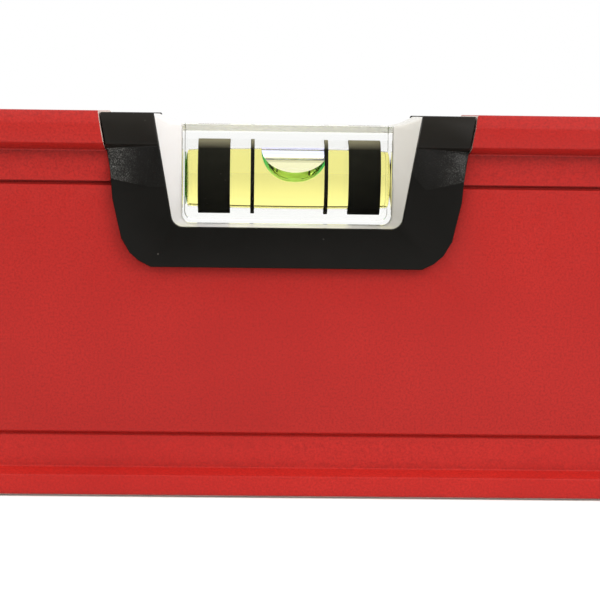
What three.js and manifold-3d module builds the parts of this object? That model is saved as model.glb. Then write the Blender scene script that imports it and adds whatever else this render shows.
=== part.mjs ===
// Box-beam spirit level, 600 mm long, with a centre vial, two plumb vials and removable end caps.
// Millimetres. X runs along the beam, the front faces -Y and Z is up.
// The origin is under the middle of the base.
import * as THREE from 'three';
import { mergeVertices } from 'three/addons/utils/BufferGeometryUtils.js';
import Module from 'manifold-3d';

const wasm = await Module();
wasm.setup();

// ---------- driving dimensions ----------
const GAP = 0.3; // clearance kept between pieces that touch
const PASS = 1; // how far a cutting tool runs past what it cuts

const LENGTH = 600; // over the end caps
const HEIGHT = 60;
const DEPTH = 28;
const CAP_THICKNESS = 6; // end cap outside the beam

// beam section: distances from the middle plane
const FACE = DEPTH / 2; // measuring flanges
const TOP_FACE = 12.9; // edge of the top after its long bevel
const PANEL = 12.6; // web panel
const GROOVE = 11.9; // floor of the line beside the panel
const RECESS_LIP = 12.3; // recess where it meets the line
const RECESS = 11.6; // recess under the flange
const CELL_NARROW = 9.2; // hollow cells in the top and the base
const CELL_WIDE = 10.4; // hollow cell behind the panels

// beam section: heights above the base
const BASE_EDGE = 0.3;
const BASE_FLANGE = 3.2;
const LEDGE = 4.15;
const LOWER_LINE = 9.3;
const UPPER_LINE = 48.5;
const LINE_WIDTH = 0.6;
const RECESS_TOP = 53.9;
const FLANGE_LOW = 55;
const BEVEL_LOW = 58;
const RIB = 2; // walls between the cells
const BASE_WALL = 4;
const TOP_WALL = 4;

// vial surrounds
const BEZEL_FACE = 13.9;
const BEZEL_TOP = 59.6;
const BEZEL_BACK = 8.4;
const LIP = 1.6; // thickness of the bezel's front lip
const REBATE = 1; // how much wider the bezel is behind its lip

// centre surround: window half widths at its top and floor, and the facets scooped under the flange
const WINDOW_TOP = 21;
const WINDOW_LOW = 18.15;
const WINDOW_FLOOR = 42;
const WINDOW_CORNER = 2;
const ARM_LOW = 27.9; // half width over the arms under the flange
const ARM_TOP = 28.95; // and at their top
const SCOOP_LOW = 48.2;
const SCOOP_RISE = 2.3; // how much higher its lower edge is at the outside
const SCOOP_DEEP = 11.9;
const SCOOP_MIDDLE = 13.3;
const SCOOP_SHALLOW = 13.4;

// centre vial
const CENTER_BLOCK = { halfLength: 16.5, low: 42.5, high: 58.15, corner: 1.4 };
const CENTER_AXIS = 49.8;
const BUBBLE_OFFSET = 1; // where the centre bubble rests

// vials
const BLOCK_DEPTH = 16;
const BARREL_MID = 4.8; // bore radius at mid length
const BARREL_END = 4.5;
const RING_OUTER = 5.95;
const RING_INNER = 5.05;
const BUBBLE_LENGTH = 10.4;
const BUBBLE_DROP = 3.3; // bubble's depth below the top of the bore
const LINE_SPACING = 5.85; // each fine line from the vial's middle
const LINE_RING = 0.6; // its width
const END_WALL = 0.6; // the block's wall past the closed end of the bore
const PLUG_INSET = 0.05;
const PLUG_LENGTH = 0.85;
const END_BUBBLE = 4.6; // height of the air at the top of an upright vial

// plumb vials
const PLUMB_FROM_END = 56; // from the level's end to the middle of the plumb vial
const PLUMB_HEIGHT = 29.15; // middle of the panel
const PLUMB_LENGTH = 28.4;
const PLUMB_WIDTH = 14;

// end caps
const CAP_INSET = 0.5; // the cap stays inside the beam's outline
const CAP_RIM = 2.4; // rubber around the insert's plate
const PLATE = 2;
const PLUG_REACH = 24;
const PLUG_WALL = 2;

const BEAM_HALF = LENGTH / 2 - CAP_THICKNESS - GAP;
const ROUND = 24; // segments of a full circle

// ---------- solids ----------
function solid(geometry) {
  geometry.deleteAttribute('normal');
  geometry.deleteAttribute('uv');
  const merged = mergeVertices(geometry, 1e-5);
  const corners = merged.index.array;
  const kept = [];
  for (let i = 0; i < corners.length; i += 3) {
    const [a, b, c] = [corners[i], corners[i + 1], corners[i + 2]];
    if (a !== b && b !== c && c !== a) kept.push(a, b, c);
  }
  const vertProperties = new Float32Array(merged.attributes.position.array);
  const triVerts = new Uint32Array(kept);
  return new wasm.Manifold(new wasm.Mesh({ numProp: 3, vertProperties, triVerts }));
}

function flatShape(points) {
  return new THREE.Shape(points.map(([u, v]) => new THREE.Vector2(u, v)));
}

// an outline in X-Z, run along Y from y0 to y1
function prism(points, y0, y1) {
  const geometry = new THREE.ExtrudeGeometry(flatShape(points), { depth: y1 - y0, bevelEnabled: false });
  geometry.rotateX(Math.PI / 2);
  geometry.translate(0, y1, 0);
  return solid(geometry);
}

// a section in Y-Z, run along X from x0 to x1, with the cells left hollow
function bar(points, x0, x1, cells = []) {
  const shape = flatShape(points);
  for (const cell of cells) shape.holes.push(new THREE.Path(cell.map(([u, v]) => new THREE.Vector2(u, v))));
  const geometry = new THREE.ExtrudeGeometry(shape, { depth: x1 - x0, bevelEnabled: false });
  const turn = new THREE.Matrix4().makeBasis(
    new THREE.Vector3(0, 1, 0),
    new THREE.Vector3(0, 0, 1),
    new THREE.Vector3(1, 0, 0),
  );
  geometry.applyMatrix4(turn);
  geometry.translate(x0, 0, 0);
  return solid(geometry);
}

// straight sides between two outlines of [x, y, z] with as many points each, the front one first
function loft(front, back) {
  const count = front.length;
  const index = [];
  for (let i = 0; i < count; i += 1) {
    const next = (i + 1) % count;
    index.push(next, i, count + i, next, count + i, count + next);
    if (i > 1) {
      index.push(0, i - 1, i);
      index.push(count, count + i, count + i - 1);
    }
  }
  const geometry = new THREE.BufferGeometry();
  geometry.setAttribute('position', new THREE.Float32BufferAttribute([...front, ...back].flat(), 3));
  geometry.setIndex(index);
  return solid(geometry);
}

function atDepth(points, y) {
  return points.map(([x, z]) => [x, y, z]);
}

// a profile of [radius, x] turned about the X axis
function turned(profile) {
  const points = profile.map(([radius, x]) => new THREE.Vector2(radius, x));
  const geometry = new THREE.LatheGeometry(points, ROUND);
  geometry.rotateZ(-Math.PI / 2);
  return solid(geometry);
}

function disc(radius, x0, x1) {
  return turned([[0, x0], [radius, x0], [radius, x1], [0, x1]]);
}

// an outline's right half, from the bottom up, completed with its mirror image
function mirrored(right) {
  const left = right.map(([x, z]) => [-x, z]).reverse();
  const isNew = ([x, z], i, all) => i === 0 || x !== all[i - 1][0] || z !== all[i - 1][1];
  return [...right, ...left].filter(isNew);
}

// points of a quarter round that turns from angle a0 to a1, in degrees
function arc(x, z, radius, a0, a1, steps = 6) {
  const points = [];
  for (let i = 0; i <= steps; i += 1) {
    const angle = THREE.MathUtils.degToRad(a0 + ((a1 - a0) * i) / steps);
    points.push([x + radius * Math.cos(angle), z + radius * Math.sin(angle)]);
  }
  return points;
}

// ---------- materials ----------
function finish(color, roughness, metalness = 0, opacity = 1) {
  return { color, roughness, metalness, opacity, transparent: opacity < 1 };
}

const RED_COAT = finish(0xc23430, 0.42, 0.2);
const BLACK_PLASTIC = finish(0x24221f, 0.5);
const WHITE_PLASTIC = finish(0xe6e3df, 0.4);
const CLEAR_ACRYLIC = finish(0xf4f6f2, 0.05, 0, 0.35);
const LIQUID = finish(0xeeea80, 0.05, 0, 0.7);
const BUBBLE_AIR = finish(0x9bcf58, 0.05, 0, 0.6);
const BLACK_INK = finish(0x1a1914, 0.5);
const BLACK_RUBBER = finish(0x1f1f20, 0.8);
const GREY_PLASTIC = finish(0x3a3a3c, 0.6);

const level = new THREE.Group();

function add(parent, name, shape, look) {
  const raw = shape.getMesh();
  const geometry = new THREE.BufferGeometry();
  geometry.setAttribute('position', new THREE.Float32BufferAttribute(raw.vertProperties, 3));
  geometry.setIndex(Array.from(raw.triVerts));
  geometry.computeVertexNormals();
  const mesh = new THREE.Mesh(geometry, new THREE.MeshStandardMaterial(look));
  mesh.name = name;
  parent.add(mesh);
}

// ---------- beam ----------
// the front side of the section from the base up, as [distance from the middle plane, height]
const beamSide = [
  [FACE - BASE_EDGE, 0],
  [FACE, BASE_EDGE],
  [FACE, BASE_FLANGE],
  [RECESS, LEDGE],
  [RECESS_LIP, LOWER_LINE],
  [GROOVE, LOWER_LINE + LINE_WIDTH / 4],
  [GROOVE, LOWER_LINE + (3 * LINE_WIDTH) / 4],
  [PANEL, LOWER_LINE + LINE_WIDTH],
  [PANEL, UPPER_LINE],
  [GROOVE, UPPER_LINE + LINE_WIDTH / 4],
  [GROOVE, UPPER_LINE + (3 * LINE_WIDTH) / 4],
  [RECESS_LIP, UPPER_LINE + LINE_WIDTH],
  [RECESS, RECESS_TOP],
  [FACE, FLANGE_LOW],
  [FACE, BEVEL_LOW],
  [TOP_FACE, HEIGHT],
];

function cell(halfWidth, z0, z1, corner) {
  return mirrored([
    [halfWidth - corner, z0],
    [halfWidth, z0 + corner],
    [halfWidth, z1 - corner],
    [halfWidth - corner, z1],
  ]);
}

const lowerRib = LOWER_LINE + LINE_WIDTH / 2;
const upperRib = UPPER_LINE + LINE_WIDTH / 2;
const beamCells = [
  cell(CELL_NARROW, BASE_WALL, lowerRib - RIB / 2, 1),
  cell(CELL_WIDE, lowerRib + RIB / 2, upperRib - RIB / 2, 1.5),
  cell(CELL_NARROW, upperRib + RIB / 2, HEIGHT - TOP_WALL, 1),
];

// centre outlines: the right half from the bottom up
const bezelSide = [
  [21, 36.1],
  [22.8, 37],
  [24.2, 38.2],
  [25.5, 40.4],
  [26.9, 46.5],
  [27.1, 49.2],
  [ARM_LOW, 54.2],
  [ARM_TOP, BEZEL_TOP],
];
const webCutSide = [[20.6, 37.5], [23.4, 39.9], [25.4, 48.9], [26.2, RECESS_TOP]];
const flangeCutSide = [
  [ARM_LOW + GAP, RECESS_TOP],
  [ARM_TOP + GAP, BEZEL_TOP],
  [ARM_TOP + 1 + GAP, HEIGHT + 4 * PASS],
];
const centerCut = mirrored([...webCutSide, ...flangeCutSide]);

// plumb outlines, about the middle of the plumb vial
function octagon(halfWidth, halfHeight, corner) {
  return mirrored([
    [halfWidth - corner, -halfHeight],
    [halfWidth, -halfHeight + corner],
    [halfWidth, halfHeight - corner],
    [halfWidth - corner, halfHeight],
  ]);
}

function grown(points, amount) {
  return points.map(([x, z]) => [x + Math.sign(x) * amount, z + Math.sign(z) * amount]);
}

const plumbBezel = octagon(14.2, 18.5, 4);
const plumbPass = octagon(12.2, 16.6, 3.2);
const plumbWindow = octagon(8.9, 15.1, 1.4);

function shifted(points, x, z) {
  return points.map(([u, v]) => [u + x, v + z]);
}

const plumbX = LENGTH / 2 - PLUMB_FROM_END;

function makeBeam() {
  const section = mirrored(beamSide);
  let beam = bar(section, -BEAM_HALF, BEAM_HALF, beamCells);
  beam = beam.subtract(prism(centerCut, -FACE - PASS, FACE + PASS));
  for (const side of [-1, 1]) {
    const hole = shifted(grown(plumbPass, GAP), side * plumbX, PLUMB_HEIGHT);
    beam = beam.subtract(prism(hole, -FACE - PASS, FACE + PASS));
  }
  return beam;
}

add(level, 'beam', makeBeam(), RED_COAT);

// ---------- vial surrounds ----------
// the bezel's front, following the beam's shape with the recess left plain
const bezelFrontSide = [
  [BEZEL_FACE, BASE_FLANGE],
  [BEZEL_FACE, BEVEL_LOW],
  [TOP_FACE - 0.1, HEIGHT],
];

// the bezel outside the beam's surface, from one end of its height to the other
function bezelSkinSection() {
  const back = beamSide.slice(3, -3).map(([d, z]) => [-(d + GAP), z]);
  return [...bezelFrontSide.map(([d, z]) => [-d, z]), [-RECESS - GAP, HEIGHT], ...back.reverse()];
}

function bezelBodySection() {
  return [...bezelFrontSide.map(([d, z]) => [-d, z]), [-BEZEL_BACK, HEIGHT], [-BEZEL_BACK, BASE_FLANGE]];
}

function makeBezel({ outline, pass, window, rebate, scoops }) {
  const reach = 40;
  const skin = bar(bezelSkinSection(), -reach, reach).intersect(prism(outline, -FACE, 0));
  const body = bar(bezelBodySection(), -reach, reach).intersect(prism(pass, -FACE, 0));
  let bezel = skin.add(body);
  bezel = bezel.subtract(prism(window, -FACE - PASS, 0));
  bezel = bezel.subtract(prism(rebate, -BEZEL_FACE + LIP, 0));
  for (const scoop of scoops) bezel = bezel.subtract(scoop);
  return bezel;
}

function makeLiner({ core, nose, window, pocket, well }) {
  const noseFront = BEZEL_FACE - LIP - GAP;
  const coreFront = BEZEL_BACK - GAP;
  const pocketFront = BLOCK_DEPTH / 2;
  let liner = prism(core, -coreFront, coreFront).add(prism(nose, -noseFront, noseFront));
  liner = liner.subtract(prism(well, -FACE, FACE));
  for (const side of [-1, 1]) {
    const mouth = atDepth(window, side * (noseFront + 0.01));
    const throat = atDepth(pocket, side * pocketFront);
    const funnel = side < 0 ? loft(mouth, throat) : loft(throat, mouth);
    liner = liner.subtract(funnel);
  }
  return liner;
}

function addPair(parent, name, bezel) {
  add(parent, `${name}_front_bezel`, bezel, BLACK_PLASTIC);
  const back = new THREE.Group();
  back.rotation.z = Math.PI;
  parent.add(back);
  add(back, `${name}_back_bezel`, bezel, BLACK_PLASTIC);
}

// centre surround, open at the top
function centerWindow(grow, top = HEIGHT + PASS) {
  const corner = WINDOW_CORNER + grow;
  const slope = (WINDOW_TOP - WINDOW_LOW) / (HEIGHT - WINDOW_FLOOR - WINDOW_CORNER);
  const floor = WINDOW_FLOOR - grow;
  const low = WINDOW_LOW + grow;
  const round = arc(low - corner, floor + corner, corner, -90, -9, 6);
  return mirrored([...round, [WINDOW_TOP + grow + slope * (top - HEIGHT), top]]);
}

function centerPocket(grow, top = HEIGHT + PASS) {
  const { halfLength, low } = CENTER_BLOCK;
  const corner = CENTER_BLOCK.corner + grow;
  const round = arc(halfLength + grow - corner, low - grow + corner, corner, -90, -9, 6);
  return mirrored([...round, [halfLength + grow, top]]);
}

// a cutter under the flange between two stations of { x, low, depth }, leaning back as it rises
function scoopWedge(a, b) {
  const lean = (FLANGE_LOW - RECESS_TOP) / (FACE - RECESS);
  const mouth = atDepth([
    [a.x, a.low],
    [b.x, b.low],
    [b.x, FLANGE_LOW],
    [a.x, FLANGE_LOW],
  ], -BEZEL_FACE - 0.01);
  const edge = [a, b, b, a].map(({ x, depth }) => [x, -depth, FLANGE_LOW - (BEZEL_FACE - depth) * lean]);
  return loft(mouth, edge);
}

// the scooped facet on one arm, deep at the outside and shallow at the window
function centerScoop(side) {
  const stations = [
    { x: side * 31, low: SCOOP_LOW + SCOOP_RISE, depth: SCOOP_DEEP },
    { x: side * 21.5, low: SCOOP_LOW, depth: SCOOP_MIDDLE },
    { x: side * 16, low: SCOOP_LOW, depth: SCOOP_SHALLOW },
  ];
  const [a, b, c] = side < 0 ? stations : stations.reverse();
  return scoopWedge(a, b).add(scoopWedge(b, c));
}

function makeLinerTop(liner) {
  const { halfLength, high } = CENTER_BLOCK;
  const dip = mirrored([
    [halfLength, high],
    [halfLength + 1, high + 0.1],
    [halfLength + 1.8, high + 0.35],
    [halfLength + 2.8, high + 0.7],
    [halfLength + 3.8, high + 1.15],
    [halfLength + 4.6, BEZEL_TOP],
    [halfLength + 16, BEZEL_TOP],
    [halfLength + 16, HEIGHT + 4 * PASS],
  ]);
  return liner.subtract(prism(dip, -FACE, FACE));
}

const center = new THREE.Group();
level.add(center);
const centerPass = mirrored([
  ...webCutSide.map(([x, z]) => [x - GAP, z + (z < 38 ? GAP : 0)]),
  [ARM_LOW, RECESS_TOP + GAP],
  [ARM_TOP, BEZEL_TOP],
]);
addPair(center, 'center', makeBezel({
  outline: mirrored(bezelSide),
  pass: centerPass,
  window: centerWindow(0),
  rebate: centerWindow(REBATE),
  scoops: [centerScoop(-1), centerScoop(1)],
}));

add(center, 'center_liner', makeLinerTop(makeLiner({
  core: centerPass,
  nose: centerWindow(REBATE - GAP),
  window: centerWindow(0),
  pocket: centerPocket(GAP),
  well: centerPocket(GAP),
})), WHITE_PLASTIC);

// ---------- vials ----------
// a shallow bubble lying along the top of the bore
function lensBubble(middle, grow) {
  const ball = new THREE.SphereGeometry(1, ROUND, 16);
  ball.scale(BUBBLE_LENGTH / 2 + grow, BARREL_END - GAP + grow, BUBBLE_DROP + grow);
  ball.translate(middle, 0, BARREL_MID);
  const bore = disc(BARREL_END - GAP + 2 * grow, middle - BUBBLE_LENGTH, middle + BUBBLE_LENGTH);
  return solid(ball).intersect(bore);
}

// the same air standing at the +X end of an upright bore, with its free surface bulging down
function endBubble(top, grow) {
  const radius = BARREL_END - GAP + 2 * grow;
  const low = top - END_BUBBLE - grow;
  const bulge = 1.2;
  const steps = 5;
  const profile = [];
  for (let i = 0; i <= steps; i += 1) {
    const share = i / steps;
    profile.push([radius * share, low + bulge * share ** 2]);
  }
  profile.push([radius, top + grow], [0, top + grow]);
  return turned(profile);
}

// a clear block with a barrel-shaped bore along X, closed by a plug at -X; its top is bevelled at the back
function addVial(parent, name, { halfLength, bands, outline, bevel, bubble, ends }) {
  const reach = halfLength - END_WALL;
  const radiusAt = (x) => BARREL_MID - (BARREL_MID - BARREL_END) * (x / reach) ** 2;
  const barrel = (shrink, x0, x1) => {
    const steps = 8;
    const profile = [[0, x0]];
    for (let i = 0; i <= steps; i += 1) {
      const x = x0 + ((x1 - x0) * i) / steps;
      profile.push([radiusAt(x) - shrink, x]);
    }
    profile.push([0, x1]);
    return turned(profile);
  };
  let clear = prism(outline, -BLOCK_DEPTH / 2, BLOCK_DEPTH / 2);
  const high = Math.max(...outline.map((point) => point[1]));
  const front = BLOCK_DEPTH / 2;
  const low = -high - PASS;
  const sides = [[-front, low], [front, low]];
  const bevelled = [...sides, [front, high - bevel], [front - bevel, high], [-front, high]];
  clear = clear.intersect(bar(bevelled, -halfLength - PASS, halfLength + PASS));
  clear = clear.subtract(barrel(0, -halfLength - PASS, reach));

  const rings = [
    [`${name}_band_${ends[0]}`, -bands.outer, -bands.inner],
    [`${name}_line_${ends[0]}`, -LINE_SPACING - LINE_RING / 2, -LINE_SPACING + LINE_RING / 2],
    [`${name}_line_${ends[1]}`, LINE_SPACING - LINE_RING / 2, LINE_SPACING + LINE_RING / 2],
    [`${name}_band_${ends[1]}`, bands.inner, bands.outer],
  ];
  for (const [ringName, x0, x1] of rings) {
    clear = clear.subtract(disc(RING_OUTER + GAP, x0 - GAP, x1 + GAP));
    const ring = disc(RING_OUTER, x0, x1).subtract(disc(RING_INNER, x0 - PASS, x1 + PASS));
    add(parent, ringName, ring, BLACK_INK);
  }
  add(parent, `${name}_vial_block`, clear, CLEAR_ACRYLIC);

  const plugOuter = -halfLength + PLUG_INSET;
  const plugInner = plugOuter + PLUG_LENGTH;
  add(parent, `${name}_vial_plug`, disc(BARREL_END - GAP, plugOuter, plugInner), CLEAR_ACRYLIC);
  const liquid = barrel(GAP, plugInner + GAP, reach - GAP);
  add(parent, `${name}_liquid`, liquid.subtract(bubble(GAP)), LIQUID);
  add(parent, `${name}_bubble`, bubble(0), BUBBLE_AIR);
}

const vial = new THREE.Group();
vial.position.z = CENTER_AXIS;
center.add(vial);
addVial(vial, 'center', {
  halfLength: CENTER_BLOCK.halfLength,
  bands: { inner: 9.4, outer: 14.5 },
  outline: mirrored([
    ...arc(
      CENTER_BLOCK.halfLength - CENTER_BLOCK.corner,
      CENTER_BLOCK.low - CENTER_AXIS + CENTER_BLOCK.corner,
      CENTER_BLOCK.corner,
      -90,
      0,
      5,
    ),
    [CENTER_BLOCK.halfLength, CENTER_BLOCK.high - CENTER_AXIS - 0.2],
    [CENTER_BLOCK.halfLength - 0.2, CENTER_BLOCK.high - CENTER_AXIS],
  ]),
  bevel: 1.3,
  bubble: (grow) => lensBubble(BUBBLE_OFFSET, grow),
  ends: ['left', 'right'],
});

// ---------- plumb vials ----------
function addPlumb(name, x) {
  const group = new THREE.Group();
  group.position.x = x;
  level.add(group);
  const up = (points) => shifted(points, 0, PLUMB_HEIGHT);
  const pocket = octagon(PLUMB_WIDTH / 2 + GAP, PLUMB_LENGTH / 2 + GAP, 1 + GAP / 2);
  addPair(group, name, makeBezel({
    outline: up(plumbBezel),
    pass: up(plumbPass),
    window: up(plumbWindow),
    rebate: up(grown(plumbWindow, REBATE)),
    scoops: [],
  }));
  add(group, `${name}_liner`, makeLiner({
    core: up(plumbPass),
    nose: up(grown(plumbWindow, REBATE - GAP)),
    window: up(plumbWindow),
    pocket: up(pocket),
    well: up(pocket),
  }), WHITE_PLASTIC);

  const upright = new THREE.Group();
  upright.position.z = PLUMB_HEIGHT;
  upright.rotation.y = -Math.PI / 2;
  group.add(upright);
  const halfLength = PLUMB_LENGTH / 2;
  addVial(upright, name, {
    halfLength,
    bands: { inner: 8.6, outer: 12.2 },
    outline: octagon(halfLength, PLUMB_WIDTH / 2, 1),
    bevel: 0.5,
    bubble: (grow) => endBubble(halfLength - END_WALL - GAP, grow),
    ends: ['lower', 'upper'],
  });
}

addPlumb('left_plumb', -plumbX);
addPlumb('right_plumb', plumbX);

// ---------- end caps ----------
function capOutline(inset) {
  const corner = 3;
  return [
    ...arc(FACE - inset - corner, inset + corner, corner, -90, 0),
    ...arc(FACE - inset - corner, HEIGHT - inset - corner, corner, 0, 90),
    ...arc(-FACE + inset + corner, HEIGHT - inset - corner, corner, 90, 180),
    ...arc(-FACE + inset + corner, inset + corner, corner, 180, 270),
  ];
}

function addCap(name, side) {
  const group = new THREE.Group();
  group.rotation.z = side > 0 ? 0 : Math.PI;
  level.add(group);
  const inner = BEAM_HALF + GAP;
  const outer = LENGTH / 2;
  const edge = capOutline(CAP_INSET);
  const face = capOutline(CAP_INSET + 1);
  let rubber = bar(edge, inner, outer - 1).add(bar(face, outer - 1 - 0.01, outer));
  rubber = rubber.subtract(bar(capOutline(CAP_INSET + CAP_RIM), inner - PASS, inner + PLATE + GAP));
  add(group, `${name}_rubber`, rubber, BLACK_RUBBER);

  const plate = bar(capOutline(CAP_INSET + CAP_RIM + GAP), inner, inner + PLATE);
  const low = lowerRib + RIB / 2 + GAP;
  const high = upperRib - RIB / 2 - GAP;
  const plug = bar(cell(CELL_WIDE - GAP, low, high, 1.5), inner - PLUG_REACH, inner + PLATE / 2);
  const hollow = cell(CELL_WIDE - GAP - PLUG_WALL, low + PLUG_WALL, high - PLUG_WALL, 1);
  const insert = plate.add(plug).subtract(bar(hollow, inner - PLUG_REACH - PASS, inner - PASS));
  add(group, `${name}_insert`, insert, GREY_PLASTIC);
}

addCap('left_end_cap', -1);
addCap('right_end_cap', 1);

export default level;
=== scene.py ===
"""Looks of the box-beam spirit level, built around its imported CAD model.

Sizes in this file are millimetres in the part's own frame, unless a name says otherwise: X runs along the
level, the front faces -Y and Z is up. place() turns them into Blender's metres.
"""
import math

import bmesh
import bpy
from mathutils import Matrix, Vector


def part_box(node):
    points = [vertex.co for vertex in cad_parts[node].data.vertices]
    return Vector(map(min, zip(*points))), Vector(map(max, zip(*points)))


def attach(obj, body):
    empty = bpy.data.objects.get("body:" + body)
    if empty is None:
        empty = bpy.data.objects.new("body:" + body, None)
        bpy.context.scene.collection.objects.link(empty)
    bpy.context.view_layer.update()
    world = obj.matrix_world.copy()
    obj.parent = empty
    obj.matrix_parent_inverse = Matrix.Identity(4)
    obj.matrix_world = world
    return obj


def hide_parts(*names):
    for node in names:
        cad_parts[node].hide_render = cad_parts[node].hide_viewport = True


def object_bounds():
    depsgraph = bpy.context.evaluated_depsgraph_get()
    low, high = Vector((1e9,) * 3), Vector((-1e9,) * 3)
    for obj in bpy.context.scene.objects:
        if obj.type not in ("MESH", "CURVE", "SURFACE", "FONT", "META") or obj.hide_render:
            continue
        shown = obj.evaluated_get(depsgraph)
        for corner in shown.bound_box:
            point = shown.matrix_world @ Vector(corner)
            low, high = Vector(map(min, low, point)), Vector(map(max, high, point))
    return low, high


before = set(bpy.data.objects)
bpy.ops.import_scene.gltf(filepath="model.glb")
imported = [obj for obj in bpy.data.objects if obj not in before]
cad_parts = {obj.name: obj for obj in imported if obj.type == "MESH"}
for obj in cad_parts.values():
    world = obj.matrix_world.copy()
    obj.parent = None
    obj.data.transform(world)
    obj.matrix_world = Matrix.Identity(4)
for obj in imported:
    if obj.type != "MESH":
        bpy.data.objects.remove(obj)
cad_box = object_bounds()

MM = 0.001
PLUMBS = ("left_plumb", "right_plumb")
VIALS = ("center",) + PLUMBS


def low(node):
    """A CAD node's lowest corner in millimetres."""
    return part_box(node)[0] / MM


def high(node):
    """A CAD node's highest corner in millimetres."""
    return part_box(node)[1] / MM


def middle(node):
    return (low(node) + high(node)) / 2


# ---------- sizes read from the frame ----------
FACE = high("beam").y  # half the depth over the measuring flanges
RING_RADIUS = (high("center_band_left").y - low("center_band_left").y) / 2
CENTER_AXIS = middle("center_band_left").z

# ---------- sizes of the looks ----------
SNUG = 0.17  # how far the trim grows into the CAD model's clearances
BORE = 4.95  # the bore's radius at mid length
BORE_END = 4.65  # and at its ends
BORE_DROP = 0.35  # how far the centre vial's bore lies below its rings' axis
BORE_SHIFT = 0.17  # how far that bore stands to the right of the level's middle
RING_SHIFT = 0.37  # and its rings
AIR_SHIFT = 0.27  # how far the centre bubble's looks stand to the right of its CAD solid
SPIRIT_TINT = (0.925, 0.868, 0.303)
RING_SPREAD = 100  # degrees that the centre vial's printed rings reach to either side of the front
WINDOW_TOP, WINDOW_LOW, WINDOW_FLOOR = 21.0, 18.15, 42.0  # centre window: half widths and floor
FUNNEL_WALL = 0.7  # thickness of the centre liner inside the bezels' windows
LINER_THROAT = 8.0  # depth from the middle plane where its funnels end and its wide core starts
CORE_BOTTOM = 37.8
CORE_SIDE = [(20.3, CORE_BOTTOM), (23.1, 39.9), (25.1, 48.9), (25.9, 53.9), (27.9, 54.2), (28.95, 59.6)]
FLANGE_LOW = 55.0  # underside edge of the top flange
SCOOP_LOW = 48.1  # lowest edge of the facets on the centre bezel
SCOOP_DEPTH = 11.5  # distance of their deepest point from the middle plane
CAP_GROOVES = (-8, 0, 8)  # heights of the end caps' grip grooves from mid height
GROOVE_WIDTH, GROOVE_DEPTH, GROOVE_INSET = 3.2, 0.8, 5.0  # inset from the cap's front and back


# ---------- node materials ----------
class Look:
    """A material under construction: node() adds a shader node, wiring sockets and setting plain values."""

    def __init__(self, name):
        self.material = bpy.data.materials.new(name)
        self.material.use_nodes = True
        self.tree = self.material.node_tree
        self.tree.nodes.clear()

    def node(self, kind, inputs=None, **settings):
        made = self.tree.nodes.new("ShaderNode" + kind)
        for key, value in settings.items():
            setattr(made, key, value)
        for key, value in (inputs or {}).items():
            if isinstance(value, bpy.types.NodeSocket):
                self.tree.links.new(value, made.inputs[key])
            else:
                made.inputs[key].default_value = value
        return made

    def place(self):
        """Object coordinates in metres: they stay with the piece when it moves."""
        return self.node("TexCoord").outputs["Object"]

    def noise(self, size, detail=2.0, roughness=0.5, vector=None):
        """Soft noise whose blobs are about size millimetres wide."""
        made = self.node("TexNoise", {
            "Vector": vector or self.place(),
            "Scale": 1 / (size * MM),
            "Detail": detail,
            "Roughness": roughness,
        })
        return made.outputs["Fac"]

    def ramp(self, value, start, end, low_value=0.0, high_value=1.0, smooth=False):
        made = self.node("MapRange", {
            "Value": value,
            "From Min": start,
            "From Max": end,
            "To Min": low_value,
            "To Max": high_value,
        }, interpolation_type="SMOOTHSTEP" if smooth else "LINEAR")
        return made.outputs["Result"]

    def blend(self, share, first, second):
        made = self.node("Mix", {"Factor": share}, data_type="RGBA")
        for key, value in ((6, first), (7, second)):
            if isinstance(value, bpy.types.NodeSocket):
                self.tree.links.new(value, made.inputs[key])
            else:
                made.inputs[key].default_value = (*value, 1)
        return made.outputs[2]

    def math(self, operation, a, b=0.0):
        return self.node("Math", {0: a, 1: b}, operation=operation).outputs[0]

    def axis(self, letter):
        """One object coordinate, in metres."""
        return self.node("SeparateXYZ", {0: self.place()}).outputs[letter]

    def bump(self, height, depth):
        """Surface relief whose height of 1 stands depth millimetres proud."""
        inputs = {"Height": height, "Distance": depth * MM, "Strength": 1.0}
        return self.node("Bump", inputs).outputs["Normal"]

    def output(self, shader):
        self.node("OutputMaterial", {"Surface": shader.outputs[0]})
        return self.material

    def plastic(self, color, roughness, **more):
        """Finishes the material with a Principled shader; the keys of more use _ for spaces."""
        inputs = {"Base Color": color if isinstance(color, bpy.types.NodeSocket) else (*color, 1)}
        inputs["Roughness"] = roughness
        for key, value in more.items():
            inputs[key.replace("_", " ")] = value
        return self.output(self.node("BsdfPrincipled", inputs))


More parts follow.
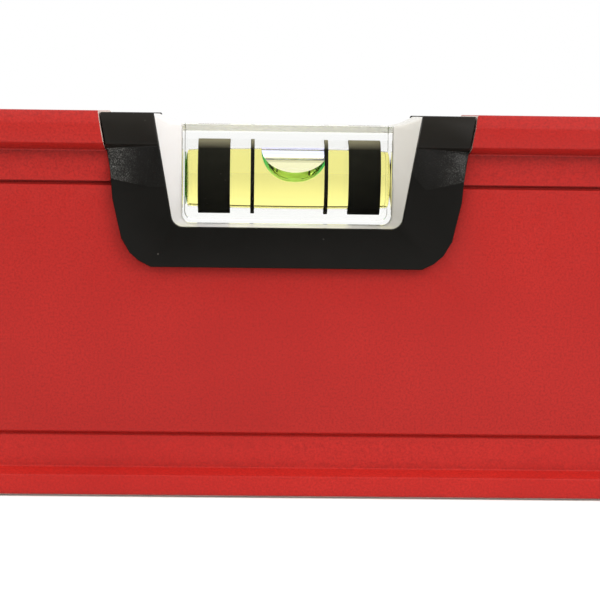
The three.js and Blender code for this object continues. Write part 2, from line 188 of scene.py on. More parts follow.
def red_coat():
    """Satin red powder coat: fine orange peel, grain, slow changes of tone, painted shade in its corners
    and hollows above the base, deepest under the flange, and a paler strip along the base painted as light
    from the floor."""
    look = Look("red_coat")
    cloud = look.noise(22, detail=3)
    grain = look.noise(0.35, detail=3, roughness=0.7)
    tone = look.blend(look.ramp(cloud, 0.3, 0.7), (0.325, 0.0085, 0.0058), (0.365, 0.0120, 0.0078))
    color = look.blend(look.ramp(grain, 0.38, 0.68), tone, (0.235, 0.0072, 0.0052))
    # Painted shade: ambient occlusion darkens the coat where it is hemmed in, faded out towards the base.
    occlusion = look.node("AmbientOcclusion", {"Distance": 5 * MM}, samples=8, only_local=True)
    openness = occlusion.outputs["AO"]
    under_flange = look.ramp(look.axis("Z"), 8 * MM, 20 * MM)
    painted_shade = look.math("MULTIPLY", look.ramp(openness, 0.35, 0.92, 0.80, 0.0), under_flange)
    # Painted light: the strip along the base is made paler, as if lit by the floor.
    painted_floor_light = look.ramp(look.axis("Z"), 6 * MM, 11 * MM, 0.16, 0.0)
    shade = look.math("ADD", look.math("SUBTRACT", 1.0, painted_shade), painted_floor_light)
    grey = look.node("CombineColor", {0: shade, 1: shade, 2: shade}).outputs[0]
    mix = look.node("Mix", {0: 1.0, 6: color, 7: grey}, data_type="RGBA", blend_type="MULTIPLY")
    color = mix.outputs[2]
    relief = look.bump(look.noise(0.5, detail=2), 0.006)
    roughness = look.ramp(look.noise(1.6, detail=3), 0.3, 0.7, 0.40, 0.50)
    return look.plastic(color, roughness, Specular_IOR_Level=0.20, Normal=relief)


def bare_aluminium():
    """Sawn and milled metal where the coat is cut through."""
    look = Look("bare_aluminium")
    stretch = look.node("Mapping", {"Vector": look.place(), "Scale": (6, 1, 1)}).outputs[0]
    lines = look.noise(1.2, detail=4, vector=stretch)
    color = look.blend(look.ramp(lines, 0.3, 0.7), (0.55, 0.42, 0.36), (0.70, 0.57, 0.50))
    return look.plastic(color, look.ramp(lines, 0.3, 0.7, 0.40, 0.60), Metallic=0.6,
                        Normal=look.bump(lines, 0.01))


def dusty(look, color, amount, spacing=2.4):
    """A few pale dust specks on a dark colour."""
    cells = look.node("TexVoronoi", {"Vector": look.place(), "Scale": 1 / (spacing * MM)})
    specks = look.ramp(cells.outputs["Distance"], 0.065, 0.040)
    patch = look.ramp(look.noise(2.5 * spacing), 0.50, 0.58)
    dust = look.math("MULTIPLY", specks, patch)
    return look.blend(look.math("MULTIPLY", dust, amount), color, (0.16, 0.15, 0.13))


def black_plastic():
    """Smooth black moulding with a hint of warm brown, paler towards its top as painted light from above,
    and a little dust.
    """
    look = Look("black_plastic")
    tone = look.blend(look.noise(9, detail=3), (0.0030, 0.0027, 0.0019), (0.0044, 0.0040, 0.0030))
    # Painted light: the moulding turns paler towards its top, as if lit from above.
    painted_top_light = look.ramp(look.axis("Z"), 52 * MM, 59 * MM)
    color = dusty(look, look.blend(painted_top_light, tone, (0.0125, 0.0108, 0.0085)), 0.8)
    relief = look.bump(look.noise(0.25, detail=3), 0.004)
    roughness = look.ramp(look.noise(2.5, detail=3), 0.3, 0.7, 0.42, 0.52)
    return look.plastic(color, roughness, Specular_IOR_Level=0.10, Normal=relief)


def black_grained():
    """The scooped facets' spark-eroded grain, with painted light: brighter towards the outside and on the
    left arm, and painted glints in the grain.
    """
    look = Look("black_grained")
    grain = look.noise(0.16, detail=4, roughness=0.8)
    # Painted light: the facets are brighter towards their outer sides and on the left arm.
    outside = look.ramp(look.math("ABSOLUTE", look.axis("X")), 22.5 * MM, 27.0 * MM, smooth=True)
    cloud = look.ramp(look.noise(2.2, detail=3), 0.35, 0.65, 0.45, 1.0)
    side = look.ramp(look.axis("X"), -10 * MM, 10 * MM, 1.3, 0.75)
    share = look.math("MULTIPLY", look.math("MULTIPLY", outside, cloud), side)
    smooth_part = look.blend(share, (0.0045, 0.0042, 0.0034), (0.0110, 0.0105, 0.0092))
    # Painted glints: pale specks of the grain, strongest where the painted light is.
    painted_grain_glints = look.math("MULTIPLY", look.ramp(grain, 0.52, 0.68), look.math("ADD", share, 0.06))
    color = look.blend(painted_grain_glints, smooth_part, (0.19, 0.185, 0.17))
    relief = look.bump(grain, 0.022)
    return look.plastic(color, 0.38, Specular_IOR_Level=0.12, Normal=relief)


def white_plastic():
    """Slightly translucent white moulding, with painted shade that makes it greyer and yellower towards the
    right arm.
    """
    look = Look("white_plastic")
    tone = look.blend(look.noise(5, detail=3), (0.600, 0.580, 0.560), (0.645, 0.625, 0.605))
    # Painted shade: the right arm turns greyer and yellower.
    right = look.ramp(look.axis("X"), -5 * MM, 18 * MM, 0.0, 0.6)
    tone = look.blend(right, tone, (0.480, 0.460, 0.395))
    relief = look.bump(look.noise(0.6, detail=2), 0.004)
    return look.plastic(tone, look.ramp(look.noise(3), 0.3, 0.7, 0.28, 0.38), Normal=relief,
                        Subsurface_Weight=0.35, Subsurface_Scale=0.0016,
                        Subsurface_Radius=(1.0, 0.9, 0.85))


def clear_acrylic():
    """Clear block with the faint waviness of a machined and polished face."""
    look = Look("clear_acrylic")
    relief = look.bump(look.noise(7, detail=1), 0.006)
    return look.plastic((0.985, 0.99, 0.975), 0.0, Transmission_Weight=1.0, IOR=1.49, Normal=relief)


def frosted_acrylic():
    """The block's bevel, left as moulded and frosted; its grey-olive tint is painted shade for the grey
    band that the bevel shows.
    """
    look = Look("frosted_acrylic")
    tone = look.blend(look.noise(6, detail=1), (0.64, 0.63, 0.55), (0.68, 0.67, 0.59))
    return look.plastic(tone, 0.55, Transmission_Weight=1.0, IOR=1.49)


def vial_liquid():
    """Yellow-green spirit. Its index is relative to the acrylic around it."""
    look = Look("vial_liquid")
    relief = look.bump(look.noise(9, detail=1), 0.004)
    return look.plastic(SPIRIT_TINT, 0.0, Transmission_Weight=1.0, IOR=0.965, Normal=relief)


def bubble_wall():
    """Where the air touches the bore. Its index is relative to the acrylic, and it takes back the tint of
    the spirit's own surface, which lies just inside it."""
    look = Look("bubble_wall")
    relief = look.bump(look.noise(6, detail=1), 0.003)
    clear = [1.02 / share ** 0.28 for share in SPIRIT_TINT]
    return look.output(look.node("BsdfGlass", {"Color": (*clear, 1), "Roughness": 0.0, "IOR": 0.75,
                                               "Normal": relief}))


def bubble_surface():
    """The free surface under the air, with a painted emerald towards its tips, standing in for the deeper
    green that light shows through the spirit at the bubble's ends.
    """
    look = Look("bubble_surface")
    span = high("center_bubble").x - low("center_bubble").x
    rest = middle("center_bubble").x
    away = look.math("ABSOLUTE", look.math("SUBTRACT", look.axis("X"), rest * MM))
    # Painted tint: emerald towards the bubble's tips.
    tip = look.ramp(away, span * 0.26 * MM, span * 0.46 * MM, smooth=True)
    color = look.blend(tip, (0.55, 0.90, 0.40), (0.07, 0.48, 0.25))
    return look.output(look.node("BsdfGlass", {"Color": color, "Roughness": 0.0, "IOR": 0.704,
                                               "Normal": look.bump(look.noise(4, detail=1), 0.004)}))


def vial_plug():
    """The vial's closing plug, dyed by the spirit."""
    look = Look("vial_plug")
    color = look.blend(look.noise(2), (0.06, 0.20, 0.02), (0.10, 0.30, 0.04))
    return look.plastic(color, 0.05, Transmission_Weight=1.0, IOR=1.02)


def black_ink():
    """Black rings: browner and paler along the top, where light falls in through the block."""
    look = Look("black_ink")
    top = look.ramp(look.axis("Z"), (CENTER_AXIS + RING_RADIUS - 1.5) * MM,
                    (CENTER_AXIS + RING_RADIUS) * MM)
    wash = look.blend(look.noise(1.2, detail=3), (0.0065, 0.0065, 0.0045), (0.0110, 0.0105, 0.0075))
    color = dusty(look, look.blend(top, wash, (0.170, 0.155, 0.100)), 1.0, spacing=1.1)
    return look.plastic(color, look.ramp(look.noise(0.8), 0.3, 0.7, 0.45, 0.6), Specular_IOR_Level=0.0)


def black_rubber():
    """Soft black rubber with a fine matt grain."""
    look = Look("black_rubber")
    grain = look.noise(0.3, detail=4, roughness=0.7)
    color = look.blend(look.noise(8, detail=4), (0.012, 0.012, 0.012), (0.020, 0.020, 0.019))
    return look.plastic(color, look.ramp(grain, 0.3, 0.7, 0.68, 0.88), Specular_IOR_Level=0.35,
                        Normal=look.bump(grain, 0.02))


def grey_plastic():
    look = Look("grey_plastic")
    grain = look.noise(0.4, detail=3)
    color = look.blend(look.noise(6, detail=2), (0.040, 0.040, 0.043), (0.055, 0.055, 0.058))
    return look.plastic(color, look.ramp(grain, 0.3, 0.7, 0.45, 0.6), Normal=look.bump(grain, 0.01))


def pale_floor():
    look = Look("pale_floor")
    color = look.blend(look.noise(300, detail=2), (0.88, 0.88, 0.87), (0.91, 0.91, 0.90))
    return look.plastic(color, 0.8, Specular_IOR_Level=0.2, Emission_Color=(1, 1, 1, 1),
                        Emission_Strength=0.05)


MAKERS = (red_coat, bare_aluminium, black_plastic, black_grained, white_plastic, clear_acrylic,
          frosted_acrylic, vial_liquid, bubble_wall, bubble_surface, vial_plug, black_ink, black_rubber,
          grey_plastic, pale_floor)
LOOKS = {maker.__name__: maker() for maker in MAKERS}


# ---------- mesh tools ----------
def place(x, y, z):
    return Vector((x, y, z)) * MM


def new_object(name, mesh, *looks):
    made = bpy.data.objects.new(name, mesh)
    bpy.context.scene.collection.objects.link(made)
    mesh.materials.clear()
    for look in looks:
        mesh.materials.append(LOOKS[look])
    return made


def applied(piece):
    """Bakes the piece's modifiers into its mesh."""
    graph = bpy.context.evaluated_depsgraph_get()
    mesh = bpy.data.meshes.new_from_object(piece.evaluated_get(graph))
    piece.modifiers.clear()
    piece.data = mesh
    return piece


def contained(verts):
    """Keeps each point inside the CAD model's box."""
    for vert in verts:
        vert.co = [min(max(vert.co[i], cad_box[0][i]), cad_box[1][i]) for i in range(3)]


def rounded(piece, width, angle=28, segments=3):
    """Rounds the piece's sharp edges by width millimetres and shades it smoothly between them."""
    piece.data.shade_smooth()
    edge = piece.modifiers.new("edge", "BEVEL")
    edge.width = width * MM
    edge.segments = segments
    edge.angle_limit = math.radians(angle)
    edge.use_clamp_overlap = False
    edge.harden_normals = True
    edge.miter_outer = "MITER_ARC"
    applied(piece)
    contained(piece.data.vertices)
    return piece


def smooth(piece, angle=35):
    piece.data.shade_smooth()
    piece.data.set_sharp_from_angle(angle=math.radians(angle))
    return piece


def outward(verts, amount):
    """Moves each vertex so that the faces around it shift outward by amount millimetres."""
    moves = {}
    for vert in verts:
        normals = []
        for face in vert.link_faces:
            if all(face.normal.dot(other) < 0.97 for other in normals):
                normals.append(face.normal.copy())
        total = sum(normals, Vector())
        reach = max((total.dot(normal) for normal in normals), default=1.0)
        moves[vert] = total * (amount * MM / max(reach, 0.6))
    for vert, move in moves.items():
        vert.co += move


def from_cad(node, name, *looks, grow=0.0, weld=0.03, flat=1.0, cuts=()):
    """A new piece with a CAD node's shape: triangles joined into faces, the surface moved out by grow.

    cuts are (axis, place) planes that split the joined faces, so that none of them surrounds a hole."""
    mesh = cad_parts[node].data.copy()
    mesh.name = name
    work = bmesh.new()
    work.from_mesh(mesh)
    bmesh.ops.remove_doubles(work, verts=work.verts, dist=weld * MM)
    for axis, spot in cuts:
        normal = Vector([float(axis == letter) for letter in "XYZ"])
        everything = work.verts[:] + work.edges[:] + work.faces[:]
        split = bmesh.ops.bisect_plane(work, geom=everything, dist=0.001 * MM, plane_co=normal * spot * MM,
                                       plane_no=normal)
        for part in split["geom_cut"]:
            if isinstance(part, bmesh.types.BMEdge):
                part.seam = True
    bmesh.ops.dissolve_limit(work, angle_limit=math.radians(flat), verts=work.verts, edges=work.edges,
                             delimit={"SEAM"})
    work.normal_update()
    if grow:
        outward(work.verts, grow)
    contained(work.verts)
    work.to_mesh(mesh)
    work.free()
    piece = new_object(name, mesh, *looks)
    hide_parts(node)
    return piece


def finished(work, name):
    """The mesh of a bmesh that is no longer needed."""
    mesh = bpy.data.meshes.new(name)
    work.to_mesh(mesh)
    work.free()
    return mesh


def flat_sheet(name, look, divisions, half_width):
    """A stage sheet in the ground plane; half_width is in metres."""
    work = bmesh.new()
    bmesh.ops.create_grid(work, x_segments=divisions, y_segments=divisions, size=half_width)
    sheet = new_object(name, finished(work, name), look)
    return sheet


def skin(name, rings, look, closed=True, ends=True):
    """A surface over rings of points, each ring as long as the next.

    The rings' ends shut to a point, unless ends is off. Without closed, the last ring joins the first."""
    work = bmesh.new()
    made = [[work.verts.new(point) for point in ring] for ring in rings]
    count = len(rings[0])
    for a, b in zip(made, made[1:] + (made[:1] if not closed else [])):
        for i in range(count):
            j = (i + 1) % count
            work.faces.new((a[i], a[j], b[j], b[i]))
    if closed and ends:
        for ring in (made[0], made[-1]):
            tip = work.verts.new(sum((vert.co for vert in ring), Vector()) / count)
            for i in range(count):
                work.faces.new((ring[i], ring[(i + 1) % count], tip))
    bmesh.ops.recalc_face_normals(work, faces=work.faces)
    return new_object(name, finished(work, name), look)


def turned(name, profile, look, segments=96):
    """A profile of (x, radius) turned about the X axis."""
    rings = []
    for x, radius in profile:
        angles = [2 * math.pi * i / segments for i in range(segments)]
        rings.append([place(x, radius * math.cos(a), radius * math.sin(a)) for a in angles])
    return skin(name, rings, look)


def swept(name, outline, look, spread, segments=96):
    """A closed outline of (x, radius) swept about X, spread degrees to either side of the front."""
    whole = spread >= 180
    steps = segments if whole else segments + 1
    angles = [math.radians(spread) * (2 * i / segments - 1) for i in range(steps)]
    rings = []
    for a in angles:
        rings.append([place(x, -radius * math.cos(a), radius * math.sin(a)) for x, radius in outline])
    return skin(name, rings, look, closed=not whole)


def ride(piece, body):
    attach(piece, body)
    return piece


# ---------- beam ----------
def make_beam():
    """The coated beam, bare metal where it is cut or milled after coating."""
    plumb = middle("right_plumb_vial_block")
    cuts = [("X", x) for x in (-plumb.x, -32, 0, 32, plumb.x)] + [("Z", plumb.z)]
    beam = from_cad("beam", "beam_body", "red_coat", "bare_aluminium", flat=0.5, cuts=cuts)
    for face in beam.data.polygons:
        sawn = abs(face.normal.x) > 0.95
        milled = face.normal.z < -0.99 and face.center.z < 0.1 * MM
        face.material_index = int(sawn or milled)
    rounded(beam, 0.22)
    ride(beam, "level")


make_beam()


# ---------- surrounds ----------
def across(node):
    """Planes through a node's middle, for from_cad's cuts."""
    spot = middle(node)
    return [("X", spot.x), ("Z", spot.z)]


def make_bezel(name, node):
    bezel = from_cad(node, name, "black_plastic", "black_grained", grow=SNUG, flat=0.3, cuts=across(node))
    for face in bezel.data.polygons:
        depth, height = abs(face.center.y) / MM, face.center.z / MM
        sunk = SCOOP_DEPTH < depth < FACE - 0.05 and SCOOP_LOW < height < FLANGE_LOW
        face.material_index = int("center" in node and sunk and abs(face.normal.y) > 0.8)
    rounded(bezel, 0.2)
    ride(bezel, "level")


def sampled(points, count):
    """count points along a line of straight stretches, evenly spaced by length."""
    lengths = [math.dist(a, b) for a, b in zip(points, points[1:])]
    total, made, index, passed = sum(lengths), [], 0, 0.0
    for k in range(count):
        goal = total * k / (count - 1)
        while index < len(lengths) - 1 and passed + lengths[index] < goal:
            passed += lengths[index]
            index += 1
        share = min(1.0, (goal - passed) / lengths[index])
        made.append(tuple(a + (b - a) * share for a, b in zip(points[index], points[index + 1])))
    return made


def opening(half_low, half_high, floor, corner, top, count=44):
    """The right half of a U-shaped outline as (x, z), from the middle of its floor to its top."""
    turns = [math.radians(-90 + 81 * k / 8) for k in range(9)]
    x, z = half_low - corner, floor + corner
    arc = [(x + corner * math.cos(a), z + corner * math.sin(a)) for a in turns]
    return sampled([(0, floor)] + arc + [(half_high, top)], count)


def mixed(first, second, share):
    return [tuple(a + (b - a) * share for a, b in zip(p, q)) for p, q in zip(first, second)]


def liner_section(inner, outer, y, dip):
    """One section of the centre liner: up its inner wall, over the dipped top, down its outer wall."""
    soft = 0.35
    x_in, x_out = inner[-1][0], outer[-1][0]
    wall = [(x, min(z, dip(x_in) - soft)) for x, z in inner]
    crown = [(x_in + soft * 0.1, dip(x_in) - soft * 0.5), (x_in + soft * 0.4, dip(x_in) - soft * 0.1)]
    x_mid = min(x_out, WINDOW_TOP + FUNNEL_WALL)
    spots = [x_in + soft + (x_mid - x_in - soft) * k / 8 for k in range(9)]
    spots += [x_mid + (x_out - x_mid) * k / 4 for k in range(1, 5)]
    crown += [(x, dip(x)) for x in spots]
    right = wall + crown + outer[::-1]
    left = [(-x, z) for x, z in right[::-1]]
    return [place(x, y, z) for x, z in right + left]


def make_center_liner():
    """The white liner as one smooth shell: a funnel from either window to the block's pocket."""
    block_low, block_high = low("center_vial_block"), high("center_vial_block")
    seat, top = block_high.x + SNUG, high("center_liner").z
    rise = top - block_high.z
    slope_width, slope_bend = 4.4, 1.7

    def dip(x):
        """Height of the liner's top, which sinks to the block's top beside it."""
        return top - rise * (1 - min(1.0, max(0.0, (x - seat) / slope_width)) ** slope_bend)

    pocket = opening(seat, seat, block_low.z - SNUG, 1.6, top)
    window = opening(WINDOW_LOW, WINDOW_TOP, WINDOW_FLOOR, 2.0, top)
    mouth, nose = (opening(WINDOW_LOW + out, WINDOW_TOP + out, WINDOW_FLOOR - out, 2.0 + out, top)
                   for out in (0.2, FUNNEL_WALL))
    core = sampled([(0, CORE_BOTTOM)] + CORE_SIDE, len(nose))
    front = -low("center_liner").y
    lip = front - 0.2
    step = LINER_THROAT - 0.1
    half = [(front, mixed(mouth, nose, 0.5), mixed(mouth, nose, 0.5)), (front, mouth, nose)]
    for k in range(9):
        share = k / 8
        curve = 0.5 * share + 0.5 * (1 - math.cos(math.pi / 2 * share))
        half.append((lip - (lip - LINER_THROAT) * share, mixed(window, pocket, curve), nose))
    half += [(step, pocket, nose), (step, pocket, core)]
    stations = [(-y, inner, outer) for y, inner, outer in half] + half[::-1]
    sections = [liner_section(inner, outer, y, dip) for y, inner, outer in stations]
    liner = skin("center_white_liner", sections, "white_plastic", ends=False)
    work = bmesh.new()
    work.from_mesh(liner.data)
    bmesh.ops.remove_doubles(work, verts=work.verts, dist=0.004 * MM)
    bmesh.ops.dissolve_degenerate(work, edges=work.edges, dist=0.01 * MM)
    bmesh.ops.recalc_face_normals(work, faces=work.faces)
    work.to_mesh(liner.data)
    work.free()
    smooth(liner, 40)
    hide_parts("center_liner")
    ride(liner, "level")


def make_liner(name):
    node = f"{name}_liner"
    liner = from_cad(node, f"{name}_white_liner", "white_plastic", grow=SNUG / 2, flat=0.3,
                     cuts=across(node))
    rounded(liner, 0.18)
    ride(liner, "level")


for vial in VIALS:
    for side in ("front", "back"):
        make_bezel(f"{vial}_{side}_trim", f"{vial}_{side}_bezel")
    if vial == "center":
        make_center_liner()
    else:
        make_liner(vial)


# ---------- vials ----------
def upright(name):
    """From a vial lying about the origin along X to its place in the level."""
    center = middle(f"{name}_vial_block") * MM
    if name == "center":
        return Matrix.Translation((center.x, center.y, CENTER_AXIS * MM))
    return Matrix.Translation(center) @ Matrix.Rotation(-math.pi / 2, 4, "Y")


def settle(piece, turn, body, slot, *nodes):
    """Turns the piece into place, ties it to its body and hides the CAD nodes it replaces; slot is not
    used.
    """
    piece.data.transform(turn)
    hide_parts(*nodes)
    ride(piece, body)
    return piece


def see_through(piece):
    """Light from the lamps reaches what is behind the piece."""
    piece.visible_shadow = False
    return piece


def make_block(name, turn):
    """A clear block about the vial's axis: a bevel along its top at the back, rounded lower corners."""
    box_low, box_high = low(f"{name}_vial_block"), high(f"{name}_vial_block")
    depth = (box_high.y - box_low.y) / 2
    if name == "center":
        half, bottom, top, bevel = box_high.x, box_low.z - CENTER_AXIS, box_high.z - CENTER_AXIS, 1.3
    else:
        half = (box_high.z - box_low.z) / 2
        top = (box_high.x - box_low.x) / 2
        bottom, bevel = -top, 0.5
    corner = 1.4
    work = bmesh.new()
    bmesh.ops.create_cube(work, size=1.0)
    for vert in work.verts:
        x, y, z = vert.co
        vert.co = place(x * 2 * half, y * 2 * depth, top if z > 0 else bottom)
    upper = [e for e in work.edges if all(v.co.z > 0 and v.co.y > 0 for v in e.verts)]
    lower = [e for e in work.edges if all(v.co.z < 0 for v in e.verts) and
             abs(e.verts[0].co.y - e.verts[1].co.y) > depth * MM]
    bmesh.ops.bevel(work, geom=upper, offset=bevel * MM, segments=1, affect="EDGES")
    lower = [e for e in lower if e.is_valid]
    bmesh.ops.bevel(work, geom=lower, offset=corner * MM, segments=6, profile=0.5, affect="EDGES")
    mesh = finished(work, f"{name}_clear_block")
    block = new_object(mesh.name, mesh, "clear_acrylic", "frosted_acrylic")
    for face in mesh.polygons:
        face.material_index = int(face.normal.y > 0.5 and face.normal.z > 0.5)
    mesh.transform(turn)
    rounded(block, 0.14, angle=20)
    see_through(settle(block, Matrix(), "level", "clear_acrylic", f"{name}_vial_block"))


def barrel_profile(x0, x1, dome, steps=24):
    """(x, radius) of the bore from x0 to x1, with ends domed by dome millimetres."""
    profile = []
    middle_x, half = (x0 + x1) / 2, (x1 - x0) / 2
    for i in range(steps + 1):
        t = -1 + 2 * i / steps
        profile.append((middle_x + half * t, BORE - (BORE - BORE_END) * t * t))
    rim = profile[0][1]
    shares = [math.sin(math.pi / 2 * k / 8) for k in range(1, 9)]
    ends = [(1 - math.cos(math.asin(share)), share) for share in shares]
    start = [(x0 - dome * (1 - bulge), rim * share) for bulge, share in reversed(ends[:-1])]
    return start[::-1] + profile + [(2 * middle_x - x, radius) for x, radius in start]


def make_liquid(name, turn, half):
    end_wall, dome = 0.57, 0.45
    reach = half - end_wall
    liquid = turned(f"{name}_spirit", barrel_profile(-reach, reach, dome), "vial_liquid")
    smooth(liquid, 50)
    see_through(settle(liquid, turn, "level", "vial_liquid", f"{name}_liquid"))


def make_rings(name, turn):
    """The broad bands and the fine lines around the bore."""
    ends = ("left", "right") if name == "center" else ("lower", "upper")
    along = 0 if name == "center" else 2
    thickness, soft = 0.55, 0.05
    for kind in ("band", "line"):
        for end in ends:
            node = f"{name}_{kind}_{end}"
            offset = 0.0 if name == "center" else middle(f"{name}_vial_block").z
            x0, x1 = low(node)[along] - offset, high(node)[along] - offset
            inside, edge = RING_RADIUS - thickness, RING_RADIUS - soft
            profile = [(x0, inside), (x0, edge), (x0 + soft, RING_RADIUS), (x1 - soft, RING_RADIUS),
                       (x1, edge), (x1, inside)]
            ring = swept(f"{node}_ink", profile, "black_ink", RING_SPREAD if name == "center" else 180)
            smooth(ring, 30)
            settle(ring, turn, "level", "black_ink", node)


def bubble_ring(contact, sag, radius, count):
    """One cross-section of the centre bubble: round the bore wall, then back along the free surface.

    contact is the height where the surface meets the wall, sag the height of its lowest point."""
    half_angle = math.acos(max(-1.0, min(1.0, contact / radius)))
    points = []
    for i in range(count + 1):
        a = half_angle * (2 * i / count - 1)
        points.append((radius * math.sin(a), radius * math.cos(a)))
    width = radius * math.sin(half_angle)
    for i in range(1, count):
        s = 1 - 2 * i / count
        points.append((width * s, sag + (contact - sag) * abs(s) ** 2.6))
    return points


def make_center_bubble(turn):
    """The long bubble under the top of the bore, closing to a point at either end."""
    x0 = middle("center_bubble").x + AIR_SHIFT
    half = (high("center_bubble").x - low("center_bubble").x) / 2 + 0.3
    radius = BORE + 0.03
    contact_mid, sag_mid = 1.1, -0.5  # the surface's edge and lowest line at mid length
    stations, count = 40, 28
    rings = []
    for i in range(stations + 1):
        u = 0.995 * math.sin(math.pi / 2 * (2 * i / stations - 1))
        close = math.sqrt(1 - u * u)
        contact = radius - (radius - contact_mid) * close
        sag = radius - (radius - sag_mid) * (1 - abs(u) ** 2.3) ** 0.5
        ring = bubble_ring(contact, min(sag, contact - 0.02), radius, count)
        rings.append([place(x0 + half * u, y, z) for y, z in ring])
    bubble = skin("center_air", rings, "bubble_wall")
    bubble.data.materials.append(LOOKS["bubble_surface"])
    for face in bubble.data.polygons:
        under = sum(1 for v in face.vertices if v % (2 * count) > count or v % (2 * count) == 0)
        face.material_index = int(under >= 3 and face.index < stations * 2 * count)
    bubble.data.shade_smooth()
    bubble.data.set_sharp_from_angle(angle=math.radians(60))
    see_through(settle(bubble, turn, "center_bubble", "vial_air", "center_bubble"))


def make_end_bubble(name, turn, half):
    """Air standing at the top of an upright vial, over a hollow free surface."""
    reach = half - 1.25
    bottom = low(f"{name}_bubble").z - middle(f"{name}_vial_block").z + 0.8
    radius, top, hollow = BORE_END - 0.06, reach + 0.42, 0.9
    profile = [(bottom - hollow * (1 - (k / 10) ** 3), radius * k / 10) for k in range(1, 11)]
    profile += [(reach, radius)]
    for k in range(1, 8):
        rise = math.sin(math.pi / 2 * k / 8)
        profile.append((reach + (top - reach) * rise, radius * math.cos(math.pi / 2 * k / 8.3)))
    bubble = turned(f"{name}_air", profile, "bubble_wall")
    bubble.data.materials.append(LOOKS["bubble_surface"])
    for face in bubble.data.polygons:
        face.material_index = int(face.center.x < bottom * MM)
    smooth(bubble, 50)
    see_through(settle(bubble, turn, f"{name}_bubble", "vial_air", f"{name}_bubble"))


def make_plug(name, turn, half):
    """The lens-shaped plug that closes the bore's far end."""
    radius, bulge = 4.2, 0.1
    outside, inside = -half + 0.02, -half + 0.2
    profile = [(outside + bulge * (k / 10) ** 2, radius * k / 10) for k in range(1, 11)]
    profile += [(inside, radius * k / 10) for k in range(10, 0, -1)]
    plug = turned(f"{name}_end_plug", profile, "vial_plug")
    smooth(plug, 40)
    see_through(settle(plug, turn, "level", "clear_acrylic", f"{name}_vial_plug"))


def make_vial(name):
    turn = upright(name)
    box_low, box_high = low(f"{name}_vial_block"), high(f"{name}_vial_block")
    half = box_high.x if name == "center" else (box_high.z - box_low.z) / 2
    make_block(name, turn)
    if name == "center":
        rings_turn = Matrix.Translation(place(RING_SHIFT, 0, 0)) @ turn
        bore_turn = Matrix.Translation(place(BORE_SHIFT, 0, -BORE_DROP)) @ turn
        make_center_bubble(Matrix.Translation(place(0, 0, -BORE_DROP)) @ turn)
    else:
        rings_turn = bore_turn = turn
    make_liquid(name, bore_turn, half)
    make_plug(name, bore_turn, half)
    make_rings(name, rings_turn)
    if name != "center":
        make_end_bubble(name, turn, half)


for vial in VIALS:
    make_vial(vial)


# ---------- end caps ----------
def grooved(cap, side):
    """Shallow grip grooves cut into the cap's outer face."""
    node = f"{side}_end_cap_rubber"
    outside = 1 if side == "right" else -1
    face = high(node).x if side == "right" else low(node).x
    length = 2 * (high(node).y - GROOVE_INSET)
    proud = 1.0  # how far the cutter stands out of the face
    for spot in CAP_GROOVES:
        work = bmesh.new()
        bmesh.ops.create_cube(work, size=1.0)
        for vert in work.verts:
            x, y, z = vert.co
            out = proud if x * outside > 0 else -GROOVE_DEPTH
            vert.co = place(face + out * outside, y * length, middle(node).z + spot + z * GROOVE_WIDTH)
        bmesh.ops.recalc_face_normals(work, faces=work.faces)
        cutter = new_object("groove", finished(work, "groove"))
        cut = cap.modifiers.new("groove", "BOOLEAN")
        cut.object, cut.operation, cut.solver = cutter, "DIFFERENCE", "EXACT"
        applied(cap)
        bpy.data.objects.remove(cutter)


def make_cap(side):
    body = f"{side}_end_cap"
    rubber = from_cad(f"{body}_rubber", f"{side}_cap_rubber", "black_rubber", flat=0.3,
                      cuts=across(f"{body}_rubber"))
    grooved(rubber, side)
    rounded(rubber, 0.35)
    ride(rubber, body)
    insert = from_cad(f"{body}_insert", f"{side}_cap_insert", "grey_plastic", flat=0.3,
                      cuts=across(f"{body}_insert"))
    rounded(insert, 0.2)
    ride(insert, body)


for side in ("left", "right"):
    make_cap(side)


# ---------- floor, light and camera ----------
def make_floor():
    floor = flat_sheet("floor", "pale_floor", 8, 4.0)
    floor.location.z = -0.3 * MM


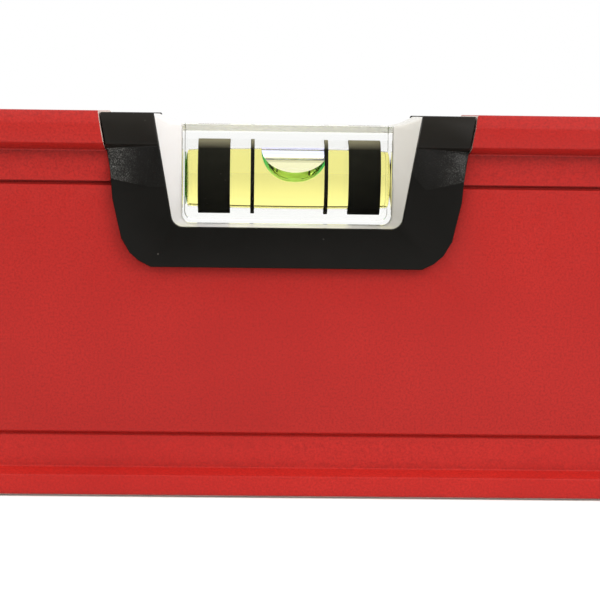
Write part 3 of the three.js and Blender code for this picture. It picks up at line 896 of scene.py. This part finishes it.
def make_flag():
    """A black cloth behind the camera that only gloss sees, so front faces don't mirror a white room."""
    flag = flat_sheet("flag", "black_rubber", 4, 1.6)
    flag.location = place(0, -450, 400)
    flag.rotation_euler = (math.pi / 2, 0, 0)
    for kind in ("camera", "diffuse", "transmission", "volume_scatter", "shadow"):
        setattr(flag, f"visible_{kind}", False)


def make_world():
    world = bpy.data.worlds.new("studio")
    bpy.context.scene.world = world
    world.use_nodes = True
    background = world.node_tree.nodes["Background"]
    background.inputs["Color"].default_value = (1.0, 1.0, 1.0, 1)
    background.inputs["Strength"].default_value = 1.0


def add_softbox(name, spot, target, size, watts):
    """An area lamp at spot, facing target. Its places and sizes are in millimetres."""
    light = bpy.data.lights.new(name, "AREA")
    light.shape = "RECTANGLE"
    light.size, light.size_y = (side * MM for side in size)
    light.energy = watts
    lamp = bpy.data.objects.new(name, light)
    bpy.context.scene.collection.objects.link(lamp)
    lamp.location = place(*spot)
    lamp.rotation_euler = (place(*target) - place(*spot)).to_track_quat("-Z", "Y").to_euler()


def make_camera():
    """Level with the top and looking slightly down at the middle of the front."""
    spot = place(-4.45, -315.0, 60.0)
    yaw, pitch, roll = (math.radians(angle) for angle in (1.254, 5.49, 0.75))
    camera = bpy.data.cameras.new("camera")
    camera.sensor_width = 36
    camera.lens = 116.8
    camera.clip_start = 0.01
    holder = bpy.data.objects.new("camera", camera)
    bpy.context.scene.collection.objects.link(holder)
    turn = Matrix.Rotation(-yaw, 4, "Z") @ Matrix.Rotation(math.pi / 2 - pitch, 4, "X")
    holder.matrix_world = Matrix.Translation(spot) @ turn @ Matrix.Rotation(roll, 4, "Z")
    bpy.context.scene.camera = holder


make_floor()
make_flag()
make_world()
add_softbox("key_left", (-340, -300, 360), (-100, 0, 30), (300, 300), 0.95)
add_softbox("key_right", (300, -260, 300), (120, 0, 30), (250, 250), 1.30)
add_softbox("top", (0, -50, 800), (0, 0, 30), (800, 500), 1.8)
make_camera()
bpy.context.scene.view_settings.view_transform = "Standard"
